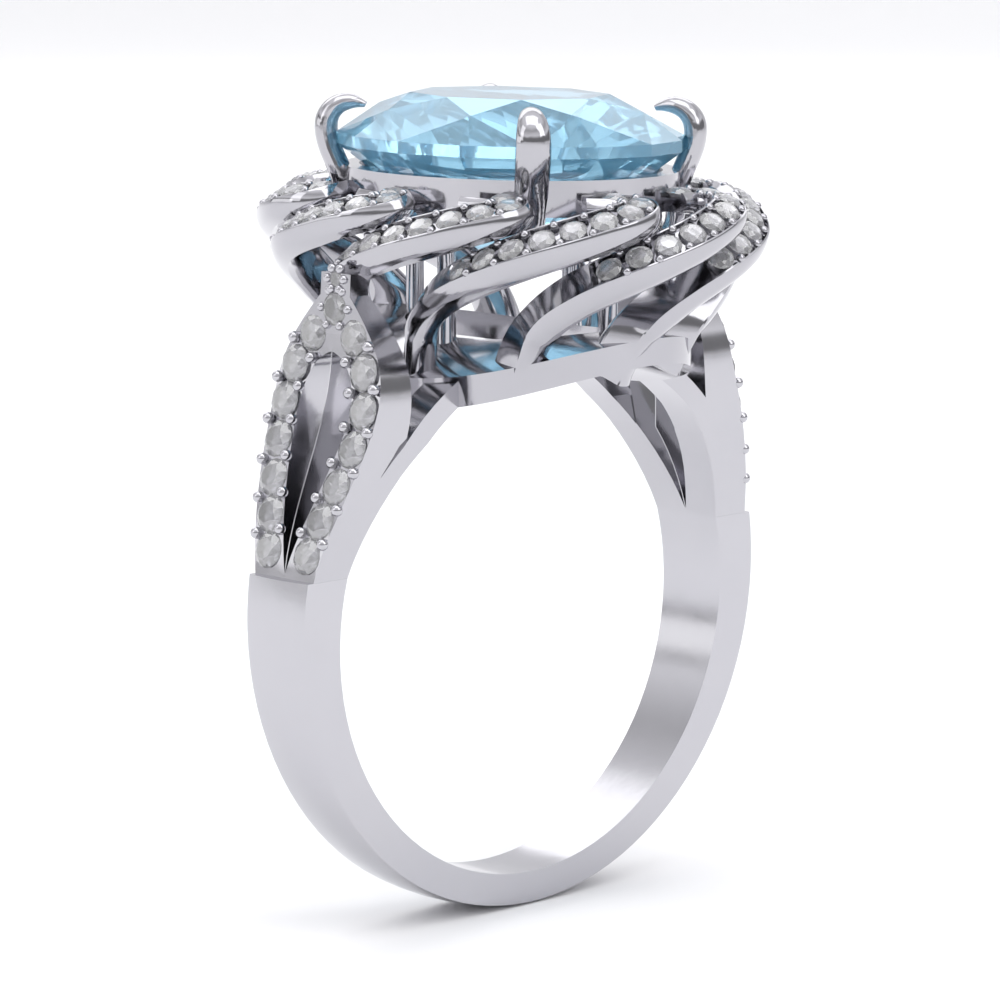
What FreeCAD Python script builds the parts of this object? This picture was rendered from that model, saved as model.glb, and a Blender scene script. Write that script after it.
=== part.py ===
import FreeCAD, Part
import math
import os

# Cocktail ring, millimetres. Origin at the centre of the finger hole, Y along the finger,
# Z up to the centre stone. The ring is unchanged by half a turn about Z.

V = FreeCAD.Vector
UP = V(0, 0, 1)
FAR = 12.0                      # further from the middle than any shoulder or plate reaches

# Finger hole and plain band
FINGER_R = 8.65
BAND_OUTER_R = 10.30
BAND_OUTER_RISE = 0.52          # centre of the outer circle above the finger hole's centre
BAND_HALF_WIDTH_TOP = 1.38      # at the height of the step
BAND_HALF_WIDTH_BOTTOM = 1.11
BAND_CROWN = 0.14               # dome of the band's outer face
STEP_Z = 2.20                   # where the band steps down into the stone-set arms

# Shoulder arms: outer and inner outline seen along Y, half outlines seen along X
ARM_OUTER = [(9.82, 1.90), (9.33, 4.04), (8.46, 6.28), (7.98, 7.70), (7.70, 9.40), (7.52, 11.90)]
FORK_TIP = (6.83, 6.26)
ARM_INNER = [FORK_TIP, (6.62, 7.60), (6.62, 9.00), (6.72, 10.20), (6.90, 11.90)]
ARM_OUTSIDE_Y = [
    (1.32, 1.90), (1.56, 3.01), (2.12, 5.14), (2.42, 6.90), (2.30, 8.62), (1.58, 9.90), (0.68, 10.9),
]
ARM_INSIDE_Y = [(0.02, 2.35), (0.52, 4.04), (1.10, 6.28), (1.18, 7.70), (0.75, 8.70), (0.02, 9.15)]
CROWN_Z = 9.70                  # the arms of one side become one piece above this height
CROWN_TOP_Z = 11.60
STRUT_THICKNESS = 0.72
STRUT_FORK_DEG = 42.5           # where the strut leaves the arm, up from the horizontal
STRUT_ROOT = 1.2                # how far below the fork the strut starts
# Strut outline seen along X, on the +Y side
STRUT_PLAN = [(0.75, 4.60), (1.95, 4.60), (2.44, 6.30), (2.44, 9.20), (1.16, 9.20), (1.16, 6.30)]
ARM_DEPTH = 3.0                 # half depth along Y of the block that the arms are cut from
ARM_ROOT = 1.5                  # how far the block runs in past the finger hole's wall

# Saddle plate
PLATE_OUTER = (4.95, 6.65)      # half lengths along X and Y
PLATE_INNER = (2.50, 4.20)
PLATE_THICKNESS = 0.84

# Halo: blades spaced evenly along an oval
HALO = (7.60, 9.10)
BLADE_COUNT = 10
BLADE_START = 5.40              # first blade's foot, measured along the oval from +X
BLADE_HEIGHT = 1.00
BLADE_WIDTH_NEAR = 1.20         # at the outer leg
BLADE_WIDTH_FAR = 1.00          # at the leg beside the head
# Middle line of a blade's set face: along the oval, out from the oval, height, face tilt in degrees
BLADE_LINE = [
    (-0.30, -3.05, 8.30, 50), (0.90, -2.40, 10.05, 52), (2.90, -1.56, 11.38, 52),
    (6.20, -0.55, 12.68, 53), (8.80, -0.62, 13.40, 58), (10.35, -0.92, 13.75, 64),
    (11.15, -1.68, 13.93, 74), (10.35, -2.44, 14.02, 84), (8.90, -2.50, 14.05, 88),
]
BLADE_SECTIONS = 26
PATH_STEPS = 60                 # points that measure a blade's length
TANGENT_STEP = 1 / 400          # share of the line either side of a point that gives its direction

# Head
SEAT_OUTER = (4.75, 6.10)
SEAT_INNER_TOP = (4.20, 5.55)
SEAT_INNER_BOTTOM = (3.90, 5.25)
SEAT_Z = (13.35, 14.50)
CLAW_AT = (3.66, 4.85)
CORNERS = [(-1, -1), (1, -1), (1, 1), (-1, 1)]
# Claw middle line: distance from the ring's Z axis and height, with the half widths
CLAW_LINE = [
    (5.28, 12.55, 0.34, 0.42), (5.42, 13.60, 0.36, 0.50), (5.62, 14.40, 0.37, 0.55),
    (5.88, 15.00, 0.37, 0.56), (6.02, 15.60, 0.37, 0.56), (5.92, 16.12, 0.36, 0.52),
    (5.55, 16.45, 0.31, 0.42), (5.12, 16.52, 0.23, 0.28), (4.72, 16.42, 0.10, 0.12),
]
POST_R = 0.30
POST_FOOT = (2.80, 4.50)        # on the X axis and on the Y axis
POST_START_Z = 8.0              # inside the saddle plate, trimmed to its top
POST_TOP_SINK = 0.3             # how far the post runs into the rail before it is trimmed
POST_TOP = (4.28, 5.60)
POST_BEND_Z = 11.60

# Stones
CENTRE_STONE = (5.00, 6.50)
CENTRE_TABLE_Z = 16.85
CENTRE_GIRDLE_Z = (15.18, 15.55)
CENTRE_DEPTH = 4.15             # pavilion below the girdle
BLADE_STONE_D = 0.88
BLADE_STONE_PITCH = 1.02
BLADE_STONE_FIRST = 5.62        # along the blade's middle line from its foot
SEAT_DRILL_R = 0.455
SEAT_DEPTH = 0.50
SEAT_RUN_OUT = 0.50             # drill above the set face
SEAT_END_WALL = 0.15            # metal left past the last seat
STONE_SINK = 0.06               # girdle below the set face
STONE_TO_CLAW = 0.01            # a stone nearer than this to a claw is left out
ARM_STONE_D = 1.15
ARM_STONE_SINK = 0.05
TABLE_SHARE = 0.57              # table against girdle
CENTRE_SIDES = 16
SMALL_SIDES = 8
# Heights of a small stone's table, girdle and culet from its girdle top, against its radius
SMALL_TABLE, SMALL_GIRDLE, SMALL_CULET = 0.30, -0.05, -0.90
# Arm stones along one arm: distance from the middle plane X = 0, from Y = 0, height
ARM_STONES = [
    (9.69, 0.90, 3.01), (9.37, 1.17, 4.08), (8.97, 1.48, 5.17), (8.54, 1.74, 6.32),
    (8.17, 1.83, 7.50), (7.93, 1.60, 8.66), (7.73, 0.95, 9.68),
]
CROWN_STONES = [(7.60, 0.0, 10.50, 1.15), (7.54, 0.0, 11.42, 0.66)]


def curve(points):
    """Smooth curve through points."""
    spline = Part.BSplineCurve()
    spline.interpolate(points)
    return spline


def oval_wire(half, z):
    """Oval outline at a height, with its long half length along Y."""
    ellipse = Part.Ellipse(V(0, half[1], z), V(-half[0], 0, z), V(0, 0, z))
    return Part.Wire([ellipse.toShape()])


def oval_prism(half, low, high):
    return Part.Face(oval_wire(half, low)).extrude(V(0, 0, high - low))


def along_y(radius, half_length, rise=0.0):
    """Cylinder about the finger's direction."""
    return Part.makeCylinder(radius, 2 * half_length, V(0, -half_length, rise), V(0, 1, 0))


def box(low, high):
    size = high - low
    return Part.makeBox(size.x, size.y, size.z, low)


def halved_turn(shape):
    """The same shape after half a turn about Z."""
    other = shape.copy()
    other.rotate(V(0, 0, 0), UP, 180)
    return other


def mirrored(shape, normal):
    return shape.mirror(V(0, 0, 0), normal)


def one_solid(shape):
    """The largest solid of a cut or a common shape."""
    return max(shape.Solids, key=lambda solid: solid.Volume)


def gap_to(shape, others):
    return min(shape.distToShape(other)[0] for other in others)


def clear_of(shape, others):
    """What is left of a piece where its neighbours run through it."""
    for other in others:
        if shape.BoundBox.intersect(other.BoundBox):
            shape = one_solid(shape.cut(other))
    return shape


def cut_stone(half, table_z, girdle_top, girdle_low, culet_z, sides):
    """Closed faceted stone: table, crown, girdle and pavilion, standing along Z at the origin."""

    def ring(share, z):
        turns = [2 * math.pi * (i + 0.5) / sides for i in range(sides)]
        return [V(share * half[0] * math.cos(a), share * half[1] * math.sin(a), z) for a in turns]

    rings = [ring(TABLE_SHARE, table_z), ring(1.0, girdle_top), ring(1.0, girdle_low)]
    faces = [Part.Face(Part.makePolygon(rings[0] + rings[0][:1]))]
    for upper, lower in zip(rings, rings[1:]):
        for i in range(sides):
            j = (i + 1) % sides
            faces.append(Part.Face(Part.makePolygon([upper[i], lower[i], lower[j], upper[j], upper[i]])))
    culet = V(0, 0, culet_z)
    for i in range(sides):
        low, after = rings[-1][i], rings[-1][(i + 1) % sides]
        faces.append(Part.Face(Part.makePolygon([low, culet, after, low])))
    solid = Part.Solid(Part.makeShell(faces))
    if solid.Volume < 0:
        solid.reverse()
    return solid


def small_stone(diameter, place, normal):
    """Round stone with its girdle at place and its table facing along normal."""
    r = diameter / 2
    stone = cut_stone((r, r), SMALL_TABLE * r, 0.0, SMALL_GIRDLE * r, SMALL_CULET * r, SMALL_SIDES)
    stone.Placement = FreeCAD.Placement(place, FreeCAD.Rotation(UP, normal))
    return stone


def band_half_width(z):
    """The band narrows evenly from the step to its lowest point."""
    lowest = BAND_OUTER_RISE - BAND_OUTER_R
    share = (z - lowest) / (STEP_Z - lowest)
    return BAND_HALF_WIDTH_BOTTOM + share * (BAND_HALF_WIDTH_TOP - BAND_HALF_WIDTH_BOTTOM)


def shank_band():
    """Plain band: a domed ring cut by the finger hole, by tapered sides and at the step."""
    side = BAND_HALF_WIDTH_TOP
    edge = BAND_OUTER_R - BAND_CROWN
    bore = FINGER_R / 2
    low, high = V(bore, -side, 0), V(bore, side, 0)
    profile = [
        Part.makeLine(low, V(edge, -side, 0)),
        Part.Arc(V(edge, -side, 0), V(BAND_OUTER_R, 0, 0), V(edge, side, 0)).toShape(),
        Part.makeLine(V(edge, side, 0), high),
        Part.makeLine(high, low),
    ]
    band = Part.Face(Part.Wire(profile)).revolve(V(0, 0, 0), V(0, 1, 0), 360)
    band.translate(V(0, 0, BAND_OUTER_RISE))
    low_side = band_half_width(-FAR)
    corners = ((-low_side, -FAR), (low_side, -FAR), (side, STEP_Z), (-side, STEP_Z))
    outline = [V(-FAR, y, z) for y, z in corners]
    wedge = Part.Face(Part.makePolygon(outline + outline[:1])).extrude(V(2 * FAR, 0, 0))
    return one_solid(band.common(wedge).cut(along_y(FINGER_R, FAR)))


def side_profile():
    """Right shoulder seen along Y: the arm's block and the band that the struts are cut from."""
    inner_r = FINGER_R + STRUT_THICKNESS
    outer = [V(x, 0, z) for x, z in ARM_OUTER]
    inner = [V(x, 0, z) for x, z in ARM_INNER]
    below = V(math.sqrt(FINGER_R ** 2 - STEP_Z ** 2) - ARM_ROOT, 0, outer[0].z)
    arm = Part.Wire([
        curve(outer).toShape(),
        Part.makeLine(outer[-1], inner[-1]),
        curve(inner[::-1]).toShape(),
        Part.makeLine(inner[0], below),
        Part.makeLine(below, outer[0]),
    ])
    arm = Part.Face(arm).extrude(V(0, 2 * ARM_DEPTH, 0))
    arm.translate(V(0, -ARM_DEPTH, 0))
    sector = box(V(0, -ARM_DEPTH, STEP_Z), V(inner_r, ARM_DEPTH, inner_r))
    return arm, along_y(inner_r, ARM_DEPTH).common(sector)


def front_outline(points, inside):
    """Prism along X of a shoulder outline seen along X, on the +Y side."""
    spline = curve([V(0, y, z) for y, z in points])
    first, last = V(0, *points[0]), V(0, *points[-1])
    if inside:
        edges = [spline.toShape(), Part.makeLine(last, first)]
    else:
        top = V(0, last.y, FAR)
        corners = [last, top, V(0, 0, top.z), V(0, 0, first.z), first]
        edges = [spline.toShape()] + [Part.makeLine(a, b) for a, b in zip(corners, corners[1:])]
    return Part.Face(Part.Wire(edges)).extrude(V(FAR, 0, 0))


def shoulder_pieces():
    """Back right arm, right crown and back right strut."""
    arm, strut_band = side_profile()
    plan = front_outline(ARM_OUTSIDE_Y, False).cut(front_outline(ARM_INSIDE_Y, True))
    hole = along_y(FINGER_R, FAR)
    whole = arm.common(plan).cut(hole).cut(box(V(0, -FAR, 0), V(FAR, FAR, STEP_Z)))
    back = one_solid(whole.cut(box(V(0, -FAR, CROWN_Z), V(FAR, FAR, 2 * FAR))))
    half_crown = one_solid(whole.common(box(V(0, -FAR, CROWN_Z), V(FAR, FAR, CROWN_TOP_Z))))
    crown = half_crown.fuse(mirrored(half_crown, V(0, 1, 0))).removeSplitter()
    fork_z = FINGER_R * math.sin(math.radians(STRUT_FORK_DEG))
    above = box(V(0, -FAR, fork_z - STRUT_ROOT), V(FAR, FAR, FAR))
    corners = [V(0, y, z) for y, z in STRUT_PLAN]
    plan = Part.Face(Part.makePolygon(corners + corners[:1])).extrude(V(FAR, 0, 0))
    strut = strut_band.common(plan).cut(hole).common(above).cut(back)
    strut = one_solid(strut.cut(oval_prism(PLATE_OUTER, 0, FAR)))
    return back, one_solid(crown), strut


def arm_stones():
    """Stones of the back right arm and of the right crown."""
    points = [V(*p) for p in ARM_STONES] + [V(*p[:3]) for p in CROWN_STONES]
    stones = []
    for i, point in enumerate(points):
        before, after = points[max(i - 1, 0)], points[min(i + 1, len(points) - 1)]
        run = after - before
        normal = V(run.z, 0, -run.x).normalize()
        diameter = ARM_STONE_D if i < len(ARM_STONES) else CROWN_STONES[i - len(ARM_STONES)][3]
        stones.append(small_stone(diameter, point - normal * ARM_STONE_SINK, normal))
    return stones[:len(ARM_STONES)], stones[len(ARM_STONES):]


def saddle_plate():
    """Oval plate open in the middle, curved to lie along the finger."""
    shell = along_y(FINGER_R + PLATE_THICKNESS, FAR).cut(along_y(FINGER_R, FAR))
    ring = oval_prism(PLATE_OUTER, 0, FAR).cut(oval_prism(PLATE_INNER, 0, FAR))
    return one_solid(shell.common(ring))


class Blade:
    """Middle line and faces of one halo blade."""

    def __init__(self, index):
        self.oval = oval_wire(HALO, 0).Edges[0]
        self.shift = BLADE_START + index * self.oval.Length / BLADE_COUNT - self.oval.Length / 4
        self.line = curve([V(*p[:3]) for p in BLADE_LINE])
        knots = [self.line.parameter(V(*p[:3])) for p in BLADE_LINE]
        self.tilts = list(zip(knots, (p[3] for p in BLADE_LINE)))
        points = [self.place(self.line.value(t))[0] for t in self.steps(PATH_STEPS)]
        self.runs = [(there - here).Length for here, there in zip(points, points[1:])]

    def steps(self, count):
        first, last = self.line.FirstParameter, self.line.LastParameter
        return [first + (last - first) * i / count for i in range(count + 1)]

    def place(self, point):
        """Point of the ring and outward direction for a point given along the oval."""
        length = (self.shift + point.x) % self.oval.Length
        at = self.oval.getParameterByLength(length)
        outward = self.oval.tangentAt(at).cross(UP)
        return self.oval.valueAt(at) + outward * point.y + UP * point.z, outward

    def tilt(self, t):
        for (a, low), (b, high) in zip(self.tilts, self.tilts[1:]):
            if t <= b:
                return low + (high - low) * (t - a) / (b - a)
        return self.tilts[-1][1]

    def frame(self, t):
        """Place, face normal and sideways direction on the set face at t along the line."""
        gap = (self.line.LastParameter - self.line.FirstParameter) * TANGENT_STEP
        here, outward = self.place(self.line.value(t))
        ahead = self.place(self.line.value(t + gap))[0] - self.place(self.line.value(t - gap))[0]
        ahead.normalize()
        tilt = math.radians(self.tilt(t))
        normal = outward * math.cos(tilt) + UP * math.sin(tilt)
        normal = (normal - ahead * normal.dot(ahead)).normalize()
        return here, normal, normal.cross(ahead)

    def width(self, t):
        share = (t - self.line.FirstParameter) / (self.line.LastParameter - self.line.FirstParameter)
        return BLADE_WIDTH_NEAR + (BLADE_WIDTH_FAR - BLADE_WIDTH_NEAR) * max(0.0, share - 0.5) * 2

    def strip(self):
        """Bar that hangs below the set face, from the foot to the blade's end."""
        sections = []
        for t in self.steps(BLADE_SECTIONS):
            here, normal, across = self.frame(t)
            side, down = across * (self.width(t) / 2), normal * BLADE_HEIGHT
            corners = [here - side, here + side, here + side - down, here - side - down]
            sections.append(Part.makePolygon(corners + corners[:1]))
        return Part.makeLoft(sections, True, True)

    def solid(self):
        """Blade with a round seat drilled for each stone."""
        length = SEAT_DEPTH + SEAT_RUN_OUT
        drills = []
        for here, normal in self.seats():
            drills.append(Part.makeCylinder(SEAT_DRILL_R, length, here - normal * SEAT_DEPTH, normal))
        return self.strip().cut(drills)

    def at_length(self, length):
        """Parameter of the line at a length from the foot."""
        steps = self.steps(PATH_STEPS)
        for before, after, run in zip(steps, steps[1:], self.runs):
            if length <= run:
                return before + (after - before) * length / run
            length -= run
        return steps[-1]

    def seats(self):
        """Place and facing of each stone, from where the polished tail ends to the blade's end."""
        room = sum(self.runs) - BLADE_STONE_FIRST - SEAT_DRILL_R - SEAT_END_WALL
        count = int(room / BLADE_STONE_PITCH) + 1
        lengths = [BLADE_STONE_FIRST + i * BLADE_STONE_PITCH for i in range(count)]
        return [self.frame(self.at_length(length))[:2] for length in lengths]

    def stones(self):
        sunk = [(here - normal * STONE_SINK, normal) for here, normal in self.seats()]
        return [small_stone(BLADE_STONE_D, place, normal) for place, normal in sunk]


def seat_rail():
    """Oval rail with a sloped inside that the centre stone's pavilion stands in."""
    low, high = SEAT_Z
    outside = oval_prism(SEAT_OUTER, low, high)
    inside = Part.makeLoft([oval_wire(SEAT_INNER_BOTTOM, low), oval_wire(SEAT_INNER_TOP, high)], True)
    return outside.cut(inside)


def claw(sign_x, sign_y):
    """Claw that leans out to the girdle and curls over the crown."""
    reach = V(sign_x * CLAW_AT[0], sign_y * CLAW_AT[1], 0)
    out = V(reach).normalize()
    side = UP.cross(out)
    points = [out * p[0] + UP * p[1] for p in CLAW_LINE]
    line = curve(points)
    sections = []
    for point, (_, _, thick, wide) in zip(points, CLAW_LINE):
        ahead = line.tangent(line.parameter(point))[0]
        across = side.cross(ahead).normalize()
        ellipse = Part.Ellipse(point + side * wide, point + across * thick, point)
        sections.append(Part.Wire([ellipse.toShape()]))
    return Part.makeLoft(sections, True, False)


def gallery_post(axis, sign):
    """Post from the saddle plate's inner edge up to the underside of the seat rail."""
    along = V(sign, 0, 0) if axis == 0 else V(0, sign, 0)
    foot, top = POST_FOOT[axis], POST_TOP[axis]
    end = along * top + UP * (SEAT_Z[0] + POST_TOP_SINK)
    points = [along * foot + UP * POST_START_Z, along * foot + UP * POST_BEND_Z, end]
    corner = Part.Arc(points[1], *bend(points)).toShape()
    path = Part.Wire([Part.makeLine(points[0], points[1]), corner])
    circle = Part.Wire([Part.Circle(points[0], UP, POST_R).toShape()])
    return path.makePipeShell([circle], True, True)


def bend(points):
    """Middle and end of an arc that leaves straight up and reaches the last point."""
    start, end = points[1], points[2]
    run = end - start
    level = V(run.x, run.y, 0)
    radius = run.dot(run) / (2 * level.Length)
    centre = start + V(level).normalize() * radius
    half = math.asin(run.z / radius) / 2
    middle = centre - V(level).normalize() * radius * math.cos(half) + UP * radius * math.sin(half)
    return middle, end


def save(name, shapes):
    """Write one node, a single solid or a group of separate solids."""
    shape = shapes if isinstance(shapes, Part.Shape) else Part.makeCompound(shapes)
    shape.exportStep(os.path.join("parts", name + ".step"))
    print(name, "solids", len(shape.Solids), "valid", shape.isValid(), "volume", round(shape.Volume, 3))


def halo(plate_bed, rail, claws):
    """Blades and their stones. The second half of the halo is the first after half a turn."""
    blades, rows = [], []
    for index in range(BLADE_COUNT // 2):
        blade = Blade(index)
        blades.append(clear_of(blade.solid(), [plate_bed, rail] + claws))
        rows.append([stone for stone in blade.stones() if gap_to(stone, claws) > STONE_TO_CLAW])
    blades += [halved_turn(blade) for blade in blades]
    rows += [[halved_turn(stone) for stone in row] for row in rows]
    return [clear_of(blade, [blades[(i + 1) % BLADE_COUNT]]) for i, blade in enumerate(blades)], rows


def place_shoulders(blades):
    """Both shoulders, mirrored from the back right one and trimmed to the halo."""
    arm, crown, strut = shoulder_pieces()
    arm_row, crown_row = arm_stones()
    front_row = [mirrored(stone, V(0, 1, 0)) for stone in arm_row]
    arm = clear_of(arm, arm_row + crown_row)
    crown = clear_of(crown, crown_row + arm_row + front_row)
    for side, side_flip in (("right", False), ("left", True)):
        for end, end_flip in (("back", False), ("front", True)):
            def turned(shape):
                shape = mirrored(shape, V(1, 0, 0)) if side_flip else shape
                return mirrored(shape, V(0, 1, 0)) if end_flip else shape
            save(f"shoulder_arm_{end}_{side}", clear_of(turned(arm), blades))
            save(f"inner_strut_{end}_{side}", clear_of(turned(strut), blades))
            save(f"shoulder_stones_{end}_{side}", [turned(stone) for stone in arm_row])
        if side_flip:
            crown = mirrored(crown, V(1, 0, 0))
            crown_row = [mirrored(stone, V(1, 0, 0)) for stone in crown_row]
        save(f"shoulder_crown_{side}", clear_of(crown, blades))
        save(f"crown_stones_{side}", crown_row)


def main():
    os.makedirs("parts", exist_ok=True)
    centre = cut_stone(CENTRE_STONE, CENTRE_TABLE_Z, CENTRE_GIRDLE_Z[1], CENTRE_GIRDLE_Z[0],
                       CENTRE_GIRDLE_Z[0] - CENTRE_DEPTH, CENTRE_SIDES)
    plate_bed = along_y(FINGER_R + PLATE_THICKNESS, FAR)
    rail = clear_of(seat_rail(), [centre])
    claws = [clear_of(claw(x, y), [centre, rail]) for x, y in CORNERS]
    blades, rows = halo(plate_bed, rail, claws)
    save("centre_stone", centre)
    save("saddle_plate", saddle_plate())
    save("seat_rail", rail)
    save("shank_band", shank_band())
    for number, (blade, row) in enumerate(zip(blades, rows), 1):
        save(f"swirl_blade_{number:02d}", blade)
        save(f"blade_stones_{number:02d}", row)
    for number, piece in enumerate(claws, 1):
        save(f"claw_{number}", piece)
    for number, (axis, sign) in enumerate([(0, 1), (1, 1), (0, -1), (1, -1)], 1):
        save(f"gallery_post_{number}", clear_of(gallery_post(axis, sign), [plate_bed, rail, centre] + blades))
    place_shoulders(blades)


main()
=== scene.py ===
import math
import bmesh
import bpy
from mathutils import Matrix, Vector


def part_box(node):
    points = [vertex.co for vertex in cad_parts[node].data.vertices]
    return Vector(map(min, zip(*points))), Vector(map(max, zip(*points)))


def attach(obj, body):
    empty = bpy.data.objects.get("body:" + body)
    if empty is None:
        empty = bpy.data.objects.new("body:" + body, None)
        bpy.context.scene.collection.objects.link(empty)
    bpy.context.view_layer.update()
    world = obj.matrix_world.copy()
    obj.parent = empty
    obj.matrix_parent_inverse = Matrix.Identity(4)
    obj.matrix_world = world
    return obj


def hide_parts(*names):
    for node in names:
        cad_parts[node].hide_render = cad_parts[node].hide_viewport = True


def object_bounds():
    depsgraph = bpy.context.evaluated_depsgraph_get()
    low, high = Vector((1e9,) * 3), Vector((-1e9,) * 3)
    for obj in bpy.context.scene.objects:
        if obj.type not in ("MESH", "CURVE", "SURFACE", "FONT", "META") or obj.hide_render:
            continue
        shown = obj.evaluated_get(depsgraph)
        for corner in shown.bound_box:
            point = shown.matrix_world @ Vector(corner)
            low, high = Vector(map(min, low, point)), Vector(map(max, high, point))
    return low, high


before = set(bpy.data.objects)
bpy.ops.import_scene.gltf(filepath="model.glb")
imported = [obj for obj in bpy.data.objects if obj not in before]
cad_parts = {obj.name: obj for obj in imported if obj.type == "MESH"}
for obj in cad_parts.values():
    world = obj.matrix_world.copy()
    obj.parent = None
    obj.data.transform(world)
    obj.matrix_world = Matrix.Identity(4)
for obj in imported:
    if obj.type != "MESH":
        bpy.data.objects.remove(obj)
cad_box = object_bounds()

# Cocktail ring in metres. Origin at the centre of the finger hole, Y along the finger, Z up.
MM = 0.001
UP = Vector((0, 0, 1))

# Halo blades, millimetres: the same driving sizes as the CAD blades
HALO = (7.60, 9.10)
BLADE_COUNT = 10
BLADE_START = 5.40
BLADE_HEIGHT = 1.00
BLADE_WIDTH_NEAR = 1.20
BLADE_WIDTH_FAR = 1.00
# Along the oval, out from the oval, height, tilt of the set face in degrees
BLADE_LINE = [
    (-0.30, -3.05, 8.30, 50), (0.90, -2.40, 10.05, 52), (2.90, -1.56, 11.38, 52),
    (6.20, -0.55, 12.68, 53), (8.80, -0.62, 13.40, 58), (10.35, -0.92, 13.75, 64),
    (11.15, -1.68, 13.93, 74), (10.35, -2.44, 14.02, 84), (8.90, -2.50, 14.05, 88),
]
BLADE_STEPS = 150
CHANNEL_START = 5.00            # length of polished tail before the stones' channel
CHANNEL_DEPTH = 0.20
RIM = 0.10                      # width of the thin wall either side of the stones
RIM_SLOPE = 0.02
EDGE = 0.05                     # softened edge of polished metal
WALL_BULGE = 0.13               # roundness of the polished side wall
WALL_STEPS = 8
WALL_TAPER = 0.6                # the wall gets lower towards the blade's end

# Stones
TABLE_SHARE = 0.57
STAR_REACH = 0.78               # tips of the star facets against the girdle
PAVILION_REACH = 0.24           # tips of the lower girdle facets against the girdle
SMALL_CROWN = 0.32              # heights against the small stone's radius
SMALL_GIRDLE = 0.04
SMALL_DEPTH = 0.86
ARM_STONE_SPREAD = 1.05
CENTRE_GIRDLE_Z = (15.18, 15.55)

# Bead claws: radius, distance from the row's middle line, length against radius
BEAD_RISE = 0.3                 # middle of a bead above the girdles, against its radius
CROWN_BEAD_COUNT = 6
BLADE_BEADS = (0.14, 0.43, 1.0)
ARM_BEADS = (0.19, 0.54, 1.0)
CROWN_BEAD_SHARE = 0.8          # size against an arm's bead
ROW_GAP = 1.7                   # stones further apart than this aren't neighbours

# Noise scales per metre, and what they vary
NOISE_DETAIL = 3.0
POLISH_SCALE = 900
POLISH_SPREAD = (0.6, 1.5)      # least and most roughness against the metal's own
TINT_SCALE = 260
WORN_TINT = (0.93, 0.93, 0.95)
RIPPLE_SCALE = 1500
RIPPLE_DEPTH = 0.00001
GEM_SCALE = 120

# View
AZIMUTH, ELEVATION = 43.95, 9.24
DISTANCE = 146.9
TARGET = (-0.223, 0.215, 3.57)
LENS = 161.96


# ---------- materials ----------

def node_material(name):
    material = bpy.data.materials.new(name)
    material.use_nodes = True
    tree = material.node_tree
    return material, tree, tree.nodes["Principled BSDF"]


def noise(tree, scale):
    """Noise in object space."""
    coords = tree.nodes.new("ShaderNodeTexCoord")
    pattern = tree.nodes.new("ShaderNodeTexNoise")
    pattern.inputs["Scale"].default_value = scale
    pattern.inputs["Detail"].default_value = NOISE_DETAIL
    tree.links.new(coords.outputs["Object"], pattern.inputs["Vector"])
    return pattern.outputs["Fac"]


def vary_roughness(tree, shader, scale, low, high):
    span = tree.nodes.new("ShaderNodeMapRange")
    span.inputs["To Min"].default_value = low
    span.inputs["To Max"].default_value = high
    tree.links.new(noise(tree, scale), span.inputs["Value"])
    tree.links.new(span.outputs["Result"], shader.inputs["Roughness"])


def vary_colour(tree, shader, scale, first, second):
    ramp = tree.nodes.new("ShaderNodeValToRGB")
    ramp.color_ramp.elements[0].color = (*first, 1)
    ramp.color_ramp.elements[1].color = (*second, 1)
    tree.links.new(noise(tree, scale), ramp.inputs["Fac"])
    tree.links.new(ramp.outputs["Color"], shader.inputs["Base Color"])


def metal(name, tint, rough, ripple):
    """Rhodium-bright metal: colour drifts slightly, polish varies, faint hand-polishing ripple."""
    material, tree, shader = node_material(name)
    shader.inputs["Metallic"].default_value = 1.0
    vary_roughness(tree, shader, POLISH_SCALE, rough * POLISH_SPREAD[0], rough * POLISH_SPREAD[1])
    worn = [channel * share for channel, share in zip(tint, WORN_TINT)]
    vary_colour(tree, shader, TINT_SCALE, worn, tint)
    bump = tree.nodes.new("ShaderNodeBump")
    bump.inputs["Strength"].default_value = ripple
    bump.inputs["Distance"].default_value = RIPPLE_DEPTH
    tree.links.new(noise(tree, RIPPLE_SCALE), bump.inputs["Height"])
    tree.links.new(bump.outputs["Normal"], shader.inputs["Normal"])
    return material


def gem(name, light, deep, ior, clear):
    """Cut stone with a slight drift of colour. Clear is the share of light that passes through."""
    material, tree, shader = node_material(name)
    shader.inputs["Transmission Weight"].default_value = clear
    shader.inputs["IOR"].default_value = ior
    shader.inputs["Roughness"].default_value = 0.0
    vary_colour(tree, shader, GEM_SCALE, deep, light)
    return material


def floor_material():
    material, tree, shader = node_material("pale_floor")
    vary_roughness(tree, shader, 40, 0.7, 0.8)
    shader.inputs["Specular IOR Level"].default_value = 0.0
    vary_colour(tree, shader, 12, (0.90, 0.90, 0.91), (0.93, 0.93, 0.935))
    return material


# ---------- mesh helpers ----------

def piece(name, mesh, material, smooth_angle=None):
    """Object that rides on the ring, with the given material."""
    shown = bpy.data.objects.new(name, mesh)
    bpy.context.scene.collection.objects.link(shown)
    mesh.materials.append(material)
    if smooth_angle is not None:
        mesh.shade_smooth()
        mesh.set_sharp_from_angle(angle=math.radians(smooth_angle))
    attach(shown, "root")
    return shown


def mesh_from(name, verts, faces):
    mesh = bpy.data.meshes.new(name)
    mesh.from_pydata([tuple(v) for v in verts], [], faces)
    mesh.validate()
    work = bmesh.new()
    work.from_mesh(mesh)
    bmesh.ops.recalc_face_normals(work, faces=work.faces)
    work.to_mesh(mesh)
    work.free()
    return mesh


# ---------- stones ----------

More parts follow.
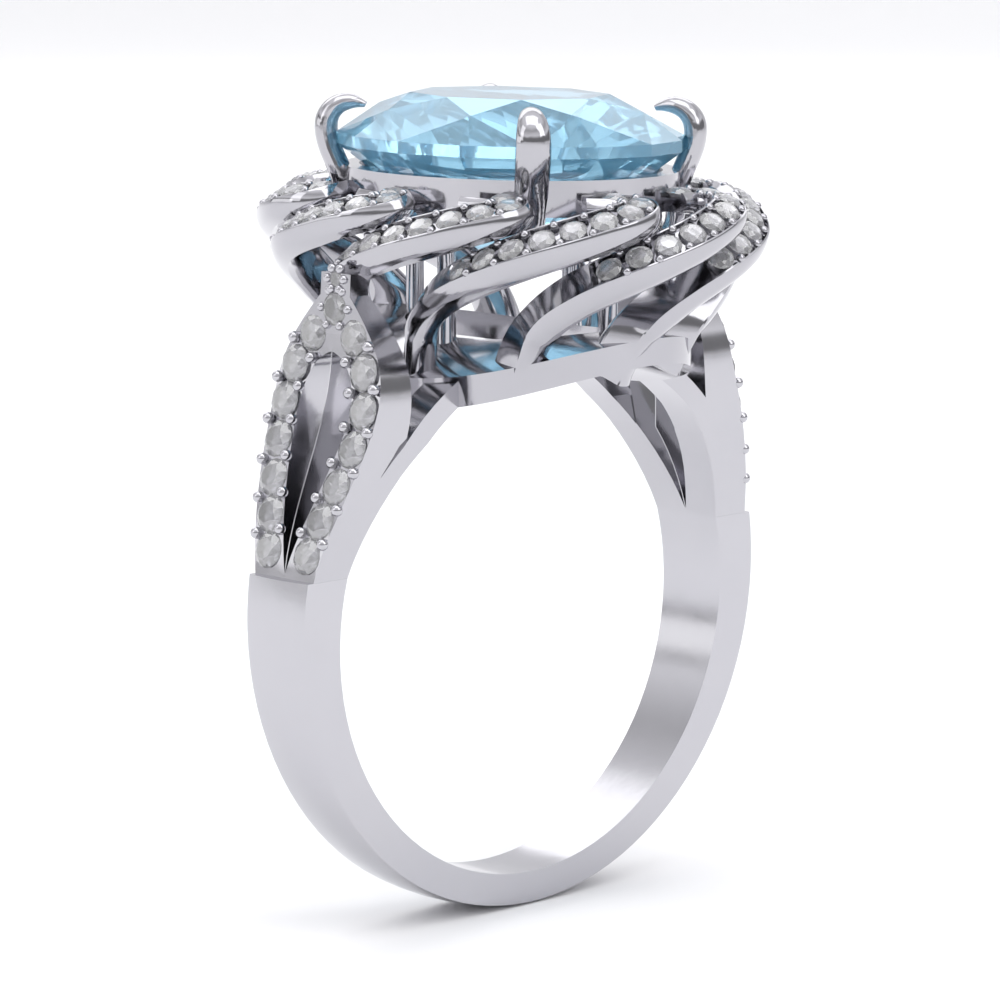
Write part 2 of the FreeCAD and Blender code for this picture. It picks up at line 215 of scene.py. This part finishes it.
def brilliant(half_x, half_y, crown, girdle, depth):
    """Vertices and faces of a standard brilliant cut, girdle top at height 0."""
    def ring(share, z, count, turn=0.0):
        angles = [2 * math.pi * (i + turn) / count for i in range(count)]
        return [Vector((share * half_x * math.cos(a), share * half_y * math.sin(a), z)) for a in angles]

    narrow = math.cos(math.pi / 8)
    star_z = crown * (1 - STAR_REACH * narrow) / (1 - TABLE_SHARE)
    low_z = -depth + (depth - girdle) * PAVILION_REACH * narrow
    verts = ring(TABLE_SHARE, crown, 8) + ring(STAR_REACH, star_z, 8, 0.5)
    verts += ring(1, 0, 16) + ring(1, -girdle, 16) + ring(PAVILION_REACH, low_z, 8, 0.5)
    verts.append(Vector((0, 0, -depth)))
    table, star, top, low, lower, culet = 0, 8, 16, 32, 48, 56
    faces = [list(range(8))]
    for k in range(8):
        after, before = (k + 1) % 8, (k - 1) % 8
        edge, mid, end = 2 * k, 2 * k + 1, (2 * k + 2) % 16
        faces.append([table + k, table + after, star + k])
        faces.append([table + k, star + before, top + edge, star + k])
        faces.append([star + k, top + edge, top + mid])
        faces.append([star + k, top + mid, top + end])
        faces.append([low + edge, lower + k, low + mid])
        faces.append([low + mid, lower + k, low + end])
        faces.append([low + edge, lower + before, culet, lower + k])
    for i in range(16):
        j = (i + 1) % 16
        faces.append([top + i, top + j, low + j, low + i])
    return verts, faces


def stone_seats(node):
    """Girdle centre, facing and radius of every stone of a CAD node, in order along the row."""
    work = bmesh.new()
    work.from_mesh(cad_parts[node].data)
    bmesh.ops.remove_doubles(work, verts=work.verts, dist=1e-6)
    bmesh.ops.triangulate(work, faces=work.faces)
    seen, seats = set(), []
    for start in work.verts:
        if start in seen:
            continue
        island, front = [], [start]
        seen.add(start)
        while front:
            vert = front.pop()
            island.append(vert)
            for edge in vert.link_edges:
                other = edge.other_vert(vert)
                if other not in seen:
                    seen.add(other)
                    front.append(other)
        seats.append(stone_seat(island))
    work.free()
    return seats


def stone_seat(island):
    """A stone is even about its axis, so its two kinds of middle both lie on it."""
    middle = sum((v.co for v in island), Vector()) / len(island)
    faces = {face for vert in island for face in vert.link_faces}
    volume, moment = 0.0, Vector()
    for face in faces:
        a, b, c = (loop.vert.co - middle for loop in face.loops)
        share = a.dot(b.cross(c))
        volume += share
        moment += (a + b + c) * share / 4
    facing = -(moment / volume).normalized()
    heights = [(v.co - middle).dot(facing) for v in island]
    radii = [(v.co - middle - facing * h).length for v, h in zip(island, heights)]
    radius = max(radii)
    girdle = max(h for h, r in zip(heights, radii) if r > 0.95 * radius)
    return middle + facing * girdle, facing, radius


def set_stones(node, material, spread=1.0):
    """Brilliants in place of a node's plain stones, spread to close up a row seen from outside."""
    verts, faces = [], []
    seats = stone_seats(node)
    for centre, facing, radius in seats:
        radius *= spread
        shape, sides = brilliant(radius, radius, SMALL_CROWN * radius, SMALL_GIRDLE * radius,
                                 SMALL_DEPTH * radius)
        turn = UP.rotation_difference(facing).to_matrix()
        base = len(verts)
        verts += [centre + turn @ v for v in shape]
        faces += [[base + i for i in side] for side in sides]
    shown = piece("cut_" + node, mesh_from("cut_" + node, verts, faces), material)
    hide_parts(node)
    return seats


def centre_stone(material):
    low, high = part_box("centre_stone")
    girdle_top = CENTRE_GIRDLE_Z[1] * MM
    half_x, half_y = (high.x - low.x) / 2, (high.y - low.y) / 2
    depth = girdle_top - low.z
    shape, faces = brilliant(half_x, half_y, high.z - girdle_top,
                             (CENTRE_GIRDLE_Z[1] - CENTRE_GIRDLE_Z[0]) * MM, depth)
    verts = [v + UP * girdle_top for v in shape]
    shown = piece("cut_centre_stone", mesh_from("cut_centre_stone", verts, faces), material)
    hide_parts("centre_stone")


def beads(name, seats, shape, material):
    """Two bead claws in each gap of a row of stones."""
    radius, offset, stretch = shape
    work = bmesh.new()
    for (a, face_a, _), (b, face_b, _) in zip(seats, seats[1:]):
        ahead = b - a
        if ahead.length > ROW_GAP * MM:
            continue
        facing = (face_a + face_b).normalized()
        side = facing.cross(ahead).normalized()
        for sign in (-1, 1):
            place = (a + b) / 2 + side * (sign * offset * MM) + facing * (radius * BEAD_RISE * MM)
            turn = UP.rotation_difference(facing).to_matrix().to_4x4()
            spot = Matrix.Translation(place) @ turn @ Matrix.Diagonal((1, 1, stretch, 1))
            bmesh.ops.create_icosphere(work, subdivisions=3, radius=radius * MM, matrix=spot)
    mesh = bpy.data.meshes.new(name)
    work.to_mesh(mesh)
    work.free()
    return piece(name, mesh, material, 60)


def crown_beads(name, seats, material):
    """Bead claws round the stones where two arms meet."""
    work = bmesh.new()
    radius = ARM_BEADS[0]
    for centre, facing, reach in seats:
        turn = UP.rotation_difference(facing).to_matrix().to_4x4()
        for i in range(CROWN_BEAD_COUNT):
            angle = 2 * math.pi * (i + 0.5) / CROWN_BEAD_COUNT
            out = Vector((math.cos(angle), math.sin(angle), 0)) * (reach + radius * 0.2 * MM)
            base = centre + facing * (radius * BEAD_RISE * MM)
            spot = Matrix.Translation(base) @ turn @ Matrix.Translation(out)
            bmesh.ops.create_icosphere(work, subdivisions=3, radius=radius * MM * CROWN_BEAD_SHARE,
                                       matrix=spot)
    mesh = bpy.data.meshes.new(name)
    work.to_mesh(mesh)
    work.free()
    return piece(name, mesh, material, 60)


# ---------- blades ----------

def catmull(points, share):
    """Smooth value of a list of tuples at a share of its whole."""
    spans = len(points) - 1
    at = min(share * spans, spans - 1e-9)
    i = int(at)
    t = at - i
    p0, p1, p2 = points[max(i - 1, 0)], points[i], points[i + 1]
    p3 = points[min(i + 2, spans)]
    return [0.5 * (2 * b + (c - a) * t + (2 * a - 5 * b + 4 * c - d) * t * t
                   + (3 * b - a - 3 * c + d) * t ** 3) for a, b, c, d in zip(p0, p1, p2, p3)]


class Oval:
    """Halo oval measured along its length, from +X."""

    STEPS = 4000

    def __init__(self):
        self.lengths = [0.0]
        before = self.at_angle(0)
        for i in range(1, self.STEPS + 1):
            here = self.at_angle(2 * math.pi * i / self.STEPS)
            self.lengths.append(self.lengths[-1] + (here - before).length)
            before = here

    def at_angle(self, angle):
        return Vector((HALO[0] * math.cos(angle), HALO[1] * math.sin(angle), 0))

    def place(self, length):
        """Point on the oval and outward direction at a length."""
        length %= self.lengths[-1]
        low, high = 0, self.STEPS
        while high - low > 1:
            middle = (low + high) // 2
            if self.lengths[middle] <= length:
                low = middle
            else:
                high = middle
        part = (length - self.lengths[low]) / (self.lengths[high] - self.lengths[low])
        angle = 2 * math.pi * (low + part) / self.STEPS
        outward = Vector((math.cos(angle) / HALO[0], math.sin(angle) / HALO[1], 0)).normalized()
        return self.at_angle(angle), outward


def blade_section(half, height, sink):
    """Half of a blade's section mirrored: a rounded outer wall, a thin rim and the stones' channel."""
    inner = half - RIM
    side = [(inner - RIM_SLOPE, sink), (inner, 0), (half - EDGE, 0), (half, EDGE)]
    for i in range(1, WALL_STEPS + 1):
        turn = math.pi * i / WALL_STEPS
        side.append((half + WALL_BULGE * math.sin(turn), EDGE + (height - 2 * EDGE) * i / WALL_STEPS))
    side.append((half - WALL_BULGE, height))
    return [(-u, d) for u, d in side[::-1]] + side


def blade_mesh(index, oval):
    shift = BLADE_START + index * oval.lengths[-1] / BLADE_COUNT
    frames, length = [], 0.0
    for step in range(BLADE_STEPS + 1):
        along, out, height, tilt = catmull(BLADE_LINE, step / BLADE_STEPS)
        base, outward = oval.place(shift + along)
        here = base + outward * out + UP * height
        if frames:
            length += (here - frames[-1][0]).length
        frames.append((here, outward, math.radians(tilt), step / BLADE_STEPS, length))
    verts, count = [], len(blade_section(1, 1, 0))
    for i, (here, outward, tilt, share, length) in enumerate(frames):
        ahead = (frames[min(i + 1, BLADE_STEPS)][0] - frames[max(i - 1, 0)][0]).normalized()
        facing = outward * math.cos(tilt) + UP * math.sin(tilt)
        facing = (facing - ahead * facing.dot(ahead)).normalized()
        across = facing.cross(ahead)
        half = (BLADE_WIDTH_NEAR + (BLADE_WIDTH_FAR - BLADE_WIDTH_NEAR) * max(0, share - 0.5) * 2) / 2
        sink = CHANNEL_DEPTH if length > CHANNEL_START else 0.0
        section = blade_section(half, BLADE_HEIGHT * (1 - WALL_TAPER * max(0, share - 0.4)), sink)
        verts += [(here + across * u - facing * d) * MM for u, d in section]
    faces = [list(range(count)), [BLADE_STEPS * count + k for k in range(count)]]
    for i in range(BLADE_STEPS):
        for k in range(count):
            j = (k + 1) % count
            faces.append([i * count + k, i * count + j, (i + 1) * count + j, (i + 1) * count + k])
    return mesh_from(f"blade_{index + 1:02d}", verts, faces)


def blades(material, stones):
    oval = Oval()
    for index in range(BLADE_COUNT):
        shown = piece(f"blade_{index + 1:02d}", blade_mesh(index, oval), material, 40)
        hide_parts(f"swirl_blade_{index + 1:02d}")
        seats = set_stones(f"blade_stones_{index + 1:02d}", stones)
        beads(f"blade_beads_{index + 1:02d}", seats, BLADE_BEADS, material)


# ---------- stage ----------

def direction(azimuth, elevation):
    """Unit vector from the ring towards a viewer at these degrees."""
    az, el = math.radians(azimuth), math.radians(elevation)
    return Vector((-math.sin(az) * math.cos(el), -math.cos(az) * math.cos(el), math.sin(el)))


def stage():
    """Pale floor that curves up into the backdrop behind the ring."""
    floor_z = cad_box[0][2]
    back = Vector((math.sin(math.radians(AZIMUTH)), math.cos(math.radians(AZIMUTH)), 0))
    side = Vector((back.y, -back.x, 0))
    profile = [(-0.9, 0), (0.45, 0)]
    for i in range(1, 25):
        turn = math.pi / 2 * i / 24
        profile.append((0.45 + 0.25 * math.sin(turn), 0.25 * (1 - math.cos(turn))))
    profile.append((0.70, 1.1))
    verts, faces = [], []
    for run, rise in profile:
        for sign in (-1, 1):
            verts.append(back * run + side * sign + UP * (floor_z + rise))
    for i in range(len(profile) - 1):
        faces.append([2 * i, 2 * i + 1, 2 * i + 3, 2 * i + 2])
    mesh = mesh_from("floor", verts, faces)
    mesh.materials.append(floor_material())
    mesh.shade_smooth()
    floor = bpy.data.objects.new("floor", mesh)
    bpy.context.scene.collection.objects.link(floor)


def softbox(name, azimuth, elevation, distance, size, brightness):
    """Area light of a given face brightness, facing the ring from an azimuth and elevation."""
    away = direction(azimuth, elevation)
    lamp = bpy.data.lights.new(name, "AREA")
    lamp.shape = "RECTANGLE"
    lamp.size, lamp.size_y = size
    lamp.energy = brightness * math.pi * size[0] * size[1]
    light = bpy.data.objects.new(name, lamp)
    light.location = away * distance
    light.rotation_euler = away.to_track_quat("Z", "Y").to_euler()
    bpy.context.scene.collection.objects.link(light)


def lights():
    softbox("key", AZIMUTH - 55, 38, 0.40, (0.22, 0.30), 1.5)
    softbox("fill", AZIMUTH + 60, 28, 0.42, (0.18, 0.30), 1.1)
    softbox("top", AZIMUTH, 82, 0.40, (0.35, 0.28), 1.3)
    softbox("rear", AZIMUTH + 170, 40, 0.42, (0.5, 0.2), 1.3)
    softbox("side", AZIMUTH + 92, 9, 0.40, (0.38, 0.075), 1.2)
    world = bpy.data.worlds.new("studio")
    world.use_nodes = True
    tree = world.node_tree
    coords = tree.nodes.new("ShaderNodeTexCoord")
    split = tree.nodes.new("ShaderNodeSeparateXYZ")
    ramp = tree.nodes.new("ShaderNodeValToRGB")
    span = tree.nodes.new("ShaderNodeMapRange")
    span.inputs["From Min"].default_value = -1
    tree.links.new(coords.outputs["Generated"], split.inputs["Vector"])
    tree.links.new(split.outputs["Z"], span.inputs["Value"])
    tree.links.new(span.outputs["Result"], ramp.inputs["Fac"])
    tones = [(0.0, 0.9), (0.50, 0.85), (0.53, 0.22), (0.62, 0.26), (0.67, 1.0), (0.80, 0.55), (0.9, 1.0)]
    points = ramp.color_ramp.elements
    while len(points) < len(tones):
        points.new(0.5)
    for point, (at, tone) in zip(points, tones):
        point.position = at
        point.color = (tone, tone, tone * 1.02, 1)
    tree.links.new(ramp.outputs["Color"], tree.nodes["Background"].inputs["Color"])
    tree.nodes["Background"].inputs["Strength"].default_value = 1.15
    bpy.context.scene.world = world


def camera():
    away = direction(AZIMUTH, ELEVATION)
    data = bpy.data.cameras.new("view")
    data.sensor_width = 36
    data.lens = LENS
    data.clip_start = 0.01
    view = bpy.data.objects.new("view", data)
    view.location = (Vector(TARGET) + away * DISTANCE) * MM
    view.rotation_euler = away.to_track_quat("Z", "Y").to_euler()
    bpy.context.scene.collection.objects.link(view)
    bpy.context.scene.camera = view


def dress(material, *names):
    """Give CAD nodes that stay a better material."""
    for name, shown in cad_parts.items():
        if name.startswith(names):
            shown.data.materials.clear()
            shown.data.materials.append(material)


def main():
    band_metal = metal("band_metal", (0.53, 0.525, 0.55), 0.16, 0.25)
    shoulder_metal = metal("shoulder_metal", (0.52, 0.515, 0.54), 0.12, 0.20)
    # painted shade: the head's metal is the band's metal with its tint set darker, so the head reads
    # darker
    head_metal = metal("head_metal", (0.48, 0.475, 0.50), 0.10, 0.15)
    topaz = gem("blue_stone", (0.53, 0.84, 1.0), (0.36, 0.76, 1.0), 1.52, 0.80)
    white = gem("white_stone", (1.0, 1.0, 1.0), (0.96, 0.97, 0.98), 2.20, 0.80)
    dress(band_metal, "shank_band")
    dress(shoulder_metal, "shoulder_arm", "shoulder_crown", "inner_strut")
    dress(head_metal, "saddle_plate", "seat_rail", "claw", "gallery_post")
    blades(head_metal, white)
    centre_stone(topaz)
    for end in ("back", "front"):
        for side in ("right", "left"):
            seats = set_stones(f"shoulder_stones_{end}_{side}", white, ARM_STONE_SPREAD)
            name = f"shoulder_beads_{end}_{side}"
            beads(name, seats, ARM_BEADS, shoulder_metal)
    for side in ("right", "left"):
        seats = set_stones(f"crown_stones_{side}", white, ARM_STONE_SPREAD)
        crown_beads(f"crown_beads_{side}", seats, shoulder_metal)
    stage()
    lights()
    camera()
    bpy.context.scene.view_settings.view_transform = "Standard"


main()
